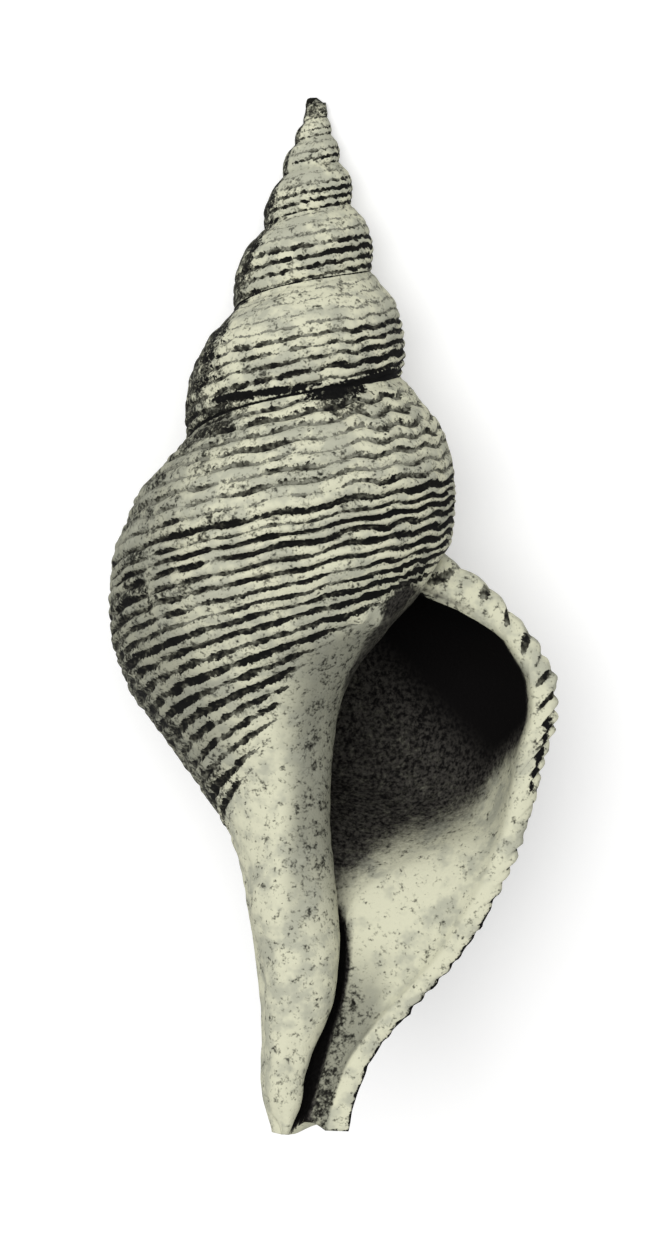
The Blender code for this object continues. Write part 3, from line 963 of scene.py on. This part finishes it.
def toned(value, tones):
    """The colour that goes with each value: (value, colour)."""
    made = put("ShaderNodeValToRGB", {"Fac": value})
    stops = made.color_ramp.elements
    for _ in tones[2:]:
        stops.new(0.5)
    for stop, (spot, colour) in zip(stops, tones):
        stop.position = spot
        stop.color = colour
    return made.outputs["Color"]


position = put("ShaderNodeTexCoord").outputs["Object"]
uv = put("ShaderNodeUVMap", uv_map="spiral").outputs["UV"]
split = put("ShaderNodeSeparateXYZ", {"Vector": uv})
along, cord = split.outputs["X"], split.outputs["Y"]
width_here, shade_here, callus_here, hollow_shade_here, seam_here, grey_shade_here, grey_grooves_here = (
    attribute(name) for name in ("width", "shade", "callus", "hollow", "seam", "grey", "grey_grooves")
)

# Pale stone with soft clouds, and dark specks that gather into painted shade where the shade
# mask is marked. The clouds are about 2 mm across and the smallest specks 0.2 mm.
CLOUDED = (0.43, 0.432, 0.34, 1)
CREAM = (0.62, 0.614, 0.462, 1)
PAINTED_SHADE_GREY = (0.14, 0.143, 0.118, 1)
SPECK_TONES = ((0.29, 0.02), (0.345, 0.10), (0.39, 0.32), (0.44, 0.75), (0.485, 1.0))
clouds = grain(420.0, 3.0, 0.6)
patches = grain(900.0, 2.0, 0.5)
blots = grain(2300.0, 2.0, 0.5)
specks = grain(5200.0, 1.0, 0.5)
mottle = scaled(patches, 0.30, scaled(blots, 0.42, scaled(specks, 0.28)))
mottle = scaled(shade_here, -0.17, mottle)
mottle = scaled(callus_here, 0.016, mottle)
pale = blend(ramp(scaled(callus_here, 0.025, clouds), 0.385, 0.585), CLOUDED, CREAM)
# Where the grey mask is marked, the pale stone is darkened to painted shade.
pale = blend(maths("MULTIPLY", grey_shade_here, ramp(clouds, 0.15, 0.50)), pale, PAINTED_SHADE_GREY)
specked = toned(mottle, [(spot, (tone, tone, tone, 1)) for spot, tone in SPECK_TONES])


def spiral_grain(turn_scale, cord_scale, detail, shift):
    """Grain that is drawn out along the cords."""
    along_scaled = maths("MULTIPLY", along, turn_scale)
    cord_scaled = maths("MULTIPLY", cord, cord_scale)
    stretched = put("ShaderNodeCombineXYZ", {"X": along_scaled, "Y": cord_scaled, "Z": shift})
    return grain(1.0, detail, 0.5, stretched.outputs["Vector"])


# The groove: a ragged dark line of painted shade where the cord's number is whole. It thickens
# and thins in segments along the way, more so near the lip, and swerves a little. Up the spire,
# where the cords are finer, its edge is rougher for their size.
segments = spiral_grain(42.0, 1.3, 2.0, 0.0)
steadier = ramp(along, 1.6, 0.9)
segments = maths("MULTIPLY", scaled(segments, 1.0, -0.5), scaled(steadier, 0.5, 0.5))
segments = scaled(segments, 1.0, 0.5)
swerve = spiral_grain(60.0, 0.5, 1.0, 7.0)
ragged = scaled(grain(3600.0, 2.0, 0.6), 0.45, scaled(blots, 0.26, -0.355))
ragged = maths("MULTIPLY", ragged, scaled(grey_grooves_here, 0.35, 1.0))
crooked_cord = scaled(swerve, 0.20, scaled(cord, 1.0, -0.10))
centred = maths("ABSOLUTE", scaled(maths("FRACT", crooked_cord), 1.0, -0.5))
to_groove = scaled(centred, -1.0, 0.5)
finer = maths("POWER", WHORL_GROWTH**0.4, along)
reach = scaled(segments, 0.56, scaled(width_here, 1.0, -0.28))
reach = maths("ADD", reach, maths("MULTIPLY", ragged, maths("MULTIPLY", finer, 0.72)))
open_width = ramp(width_here, 0.004, 0.03)
in_groove = ramp(maths("SUBTRACT", to_groove, reach), 0.025, -0.025)
in_groove = maths("MULTIPLY", in_groove, open_width)
in_seam = scaled(segments, 1.5, scaled(ragged, 2.2, scaled(seam_here, 1.0, -1.25)))
in_seam = ramp(in_seam, -0.10, 0.10)
black = maths("MAXIMUM", in_groove, in_seam)
stone = blend(1.0, pale, specked, "MULTIPLY")

# How black the grooves' painted shade is: black where it is wide and deep, olive where it is
# narrow, and grey on the shoulder, where painted light falls.
LINE_TONES = (
    (0.0, (0.22, 0.22, 0.175, 1)),
    (0.16, (0.10, 0.10, 0.076, 1)),
    (0.32, (0.035, 0.034, 0.026, 1)),
    (0.48, (0.008, 0.008, 0.007, 1)),
    (1.0, (0.005, 0.005, 0.005, 1)),
)
blackness = scaled(width_here, 0.8, scaled(blots, 0.42, scaled(segments, 0.38, -0.43)))
blackness = scaled(grey_grooves_here, -0.07, blackness)
stone = blend(black, stone, toned(maths("MAXIMUM", scaled(blackness, 3.0), in_seam), LINE_TONES))

# The hollow's painted shade is mottled with grey, and thins to a mottled edge.
HOLLOW_SHADE_BLACK = (0.004, 0.0035, 0.0035, 1)
HOLLOW_SHADE_GREY = (0.060, 0.056, 0.049, 1)
soft_edge = ramp(scaled(hollow_shade_here, 1.0, scaled(mottle, -1.1, 0.55)), 0.0, 1.0)
grey_in_shade = ramp(grain(3000.0, 3.0, 0.65), 0.36, 0.66)
grey_in_shade = maths("MULTIPLY", grey_in_shade, ramp(hollow_shade_here, 1.6, 1.0))
stone = blend(soft_edge, stone, blend(grey_in_shade, HOLLOW_SHADE_BLACK, HOLLOW_SHADE_GREY))
links.new(stone, surface.inputs["Base Color"])

# Fine pits and specks, and the painted grooves a hair below the stone.
height = scaled(black, -0.7, scaled(specks, 0.35, scaled(blots, 0.65)))
bump = put("ShaderNodeBump", {"Height": height, "Distance": 0.1 * MM, "Strength": 0.8})
links.new(bump.outputs["Normal"], surface.inputs["Normal"])
mesh.materials.clear()
mesh.materials.append(fossil)
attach(shell, "root")
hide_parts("shell")

# --- The table it lies on ----------------------------------------------------------------------
# A plain pale board, wider than the view, that catches the shell's soft shadow. It glows a little
# to the camera alone, so that it looks white round the shell and throws no more light on it.
FLOOR_SIZE = 6.0
FLOOR_GLOW = 0.30
bpy.ops.object.select_all(action="DESELECT")
bpy.ops.mesh.primitive_plane_add(size=FLOOR_SIZE, location=(0, 0, 0))
floor = bpy.context.object
floor.name = "floor"
board = bpy.data.materials.new("pale_board")
board.use_nodes = True
nodes, links = board.node_tree.nodes, board.node_tree.links
paper = nodes["Principled BSDF"]
paper.inputs["Base Color"].default_value = (0.8, 0.8, 0.8, 1)
paper.inputs["Roughness"].default_value = 0.9
paper.inputs["Specular IOR Level"].default_value = 0.0
seen = put("ShaderNodeLightPath").outputs["Is Camera Ray"]
extra = maths("MULTIPLY", seen, FLOOR_GLOW)
glow = put("ShaderNodeEmission", {"Color": (1, 1, 1, 1), "Strength": extra})
both = put("ShaderNodeAddShader", {0: paper.outputs[0], 1: glow.outputs[0]})
links.new(both.outputs[0], nodes["Material Output"].inputs["Surface"])
floor.data.materials.append(board)

# --- The camera --------------------------------------------------------------------------------
# It looks down into the mouth, a little from the canal's side, with the spire at the top of the
# frame, and from far enough off that the shell is hardly drawn out of shape.
VIEW_TILT = 5.0
VIEW_LEAN = 1.85
FRAME_HEIGHT = 95.75
AIM = Vector((2.34, 0.0, -41.6))
LENS = 180.0
SENSOR_HEIGHT = 36.0

tilt, lean = math.radians(VIEW_TILT), math.radians(VIEW_LEAN)
toward = Vector((0, -math.cos(tilt), -math.sin(tilt)))
upright = Vector((0, -math.sin(tilt), math.cos(tilt)))
sideways = upright.cross(toward)
up = upright * math.cos(lean) - sideways * math.sin(lean)
right = up.cross(toward)
lens = bpy.data.cameras.new("camera")
lens.sensor_fit = "VERTICAL"
lens.sensor_height = SENSOR_HEIGHT
lens.lens = LENS
lens.clip_end = 20.0
camera = bpy.data.objects.new("camera", lens)
bpy.context.scene.collection.objects.link(camera)
laid = rest_matrix()
turn = laid.to_3x3() @ Matrix((right, up, toward)).transposed()
distance = FRAME_HEIGHT * MM * LENS / SENSOR_HEIGHT
stand = Matrix.Translation(laid @ (AIM * MM) + turn.col[2] * distance)
camera.matrix_world = stand @ turn.to_4x4()
bpy.context.scene.camera = camera

# --- The light ---------------------------------------------------------------------------------
# A large soft lamp over the spire's left side, with even light from all round, as by a window on
# a bright day with a pale room behind.
LAMP_PLACE = Vector((-0.22, 0.5, 1.2))
LAMP_AIM = Vector((0, 0, 0.015))
world = bpy.data.worlds.new("studio")
bpy.context.scene.world = world
world.use_nodes = True
sky = world.node_tree.nodes["Background"]
sky.inputs["Color"].default_value = (1, 1, 1, 1)
sky.inputs["Strength"].default_value = 0.45
window = bpy.data.lights.new("window", "AREA")
window.size = 1.0
window.energy = 14.5
lamp = bpy.data.objects.new("window", window)
bpy.context.scene.collection.objects.link(lamp)
lamp.location = LAMP_PLACE
lamp.rotation_euler = (LAMP_AIM - LAMP_PLACE).to_track_quat("-Z", "Y").to_euler()

bpy.context.scene.view_settings.view_transform = "Standard"
